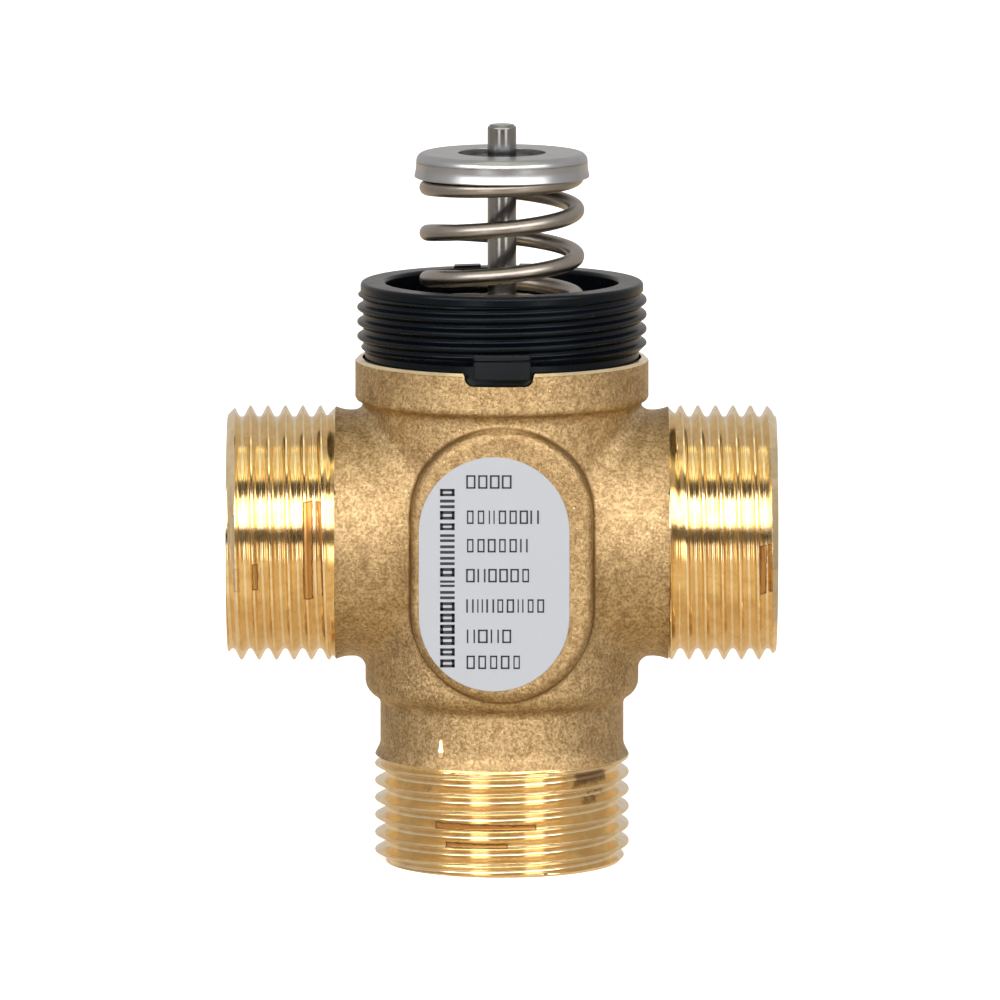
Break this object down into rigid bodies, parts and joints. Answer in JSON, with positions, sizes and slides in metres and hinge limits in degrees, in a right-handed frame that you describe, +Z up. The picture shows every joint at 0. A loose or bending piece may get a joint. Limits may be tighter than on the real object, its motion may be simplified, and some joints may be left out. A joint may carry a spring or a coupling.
{
  "type": "three-way valve body",
  "caption": "Brass three-way globe valve body with male threaded ports, a spring-returned stem and a threaded plastic collar for an actuator.",
  "frame": {"origin": "centre of the bottom port's end face", "axes": "+Z up the stem axis, +X out of the right-hand port, data label on the -Y side"},
  "size_m": [0.0568, 0.0304, 0.0769],
  "materials": {
    "forged_brass": "shot-blasted hot forging",
    "turned_brass": "bright turned",
    "black_plastic": "satin moulded",
    "white_plastic": "turned",
    "seal_rubber": "smooth",
    "label_foil": "satin foil",
    "spring_wire": "drawn stainless wire",
    "stem_steel": "ground",
    "pressed_steel": "satin pressed sheet"
  },
  "bodies": {
    "valve_body": {"valve_body": "forged_brass", "actuator_collar": "black_plastic", "bonnet": "turned_brass", "bonnet_seal": "seal_rubber", "guide_bush": "white_plastic", "stem_seal_lower": "seal_rubber", "seal_spacer": "turned_brass", "stem_seal_upper": "seal_rubber", "gland_nut": "turned_brass", "lower_seat": "turned_brass", "lower_seat_seal": "seal_rubber", "data_label": "label_foil", "return_spring": "spring_wire"},
    "stem": {"stem": "stem_steel", "spring_cap": "pressed_steel", "cap_bush": "black_plastic", "cap_clip": "stem_steel", "plug": "turned_brass", "upper_plug_seal": "seal_rubber", "lower_plug_seal": "seal_rubber", "upper_plug_washer": "pressed_steel", "lower_plug_washer": "pressed_steel", "plug_nut": "stem_steel"}
  },
  "joints": [
    {"name": "stem_slide", "type": "slide", "parent": "valve_body", "child": "stem", "axis": [0, 0, -1], "range_m": [0, 0.0055], "stiffness_N_per_m": 7100, "springref_m": -0.005, "deforming": ["return_spring"]}
  ]
}
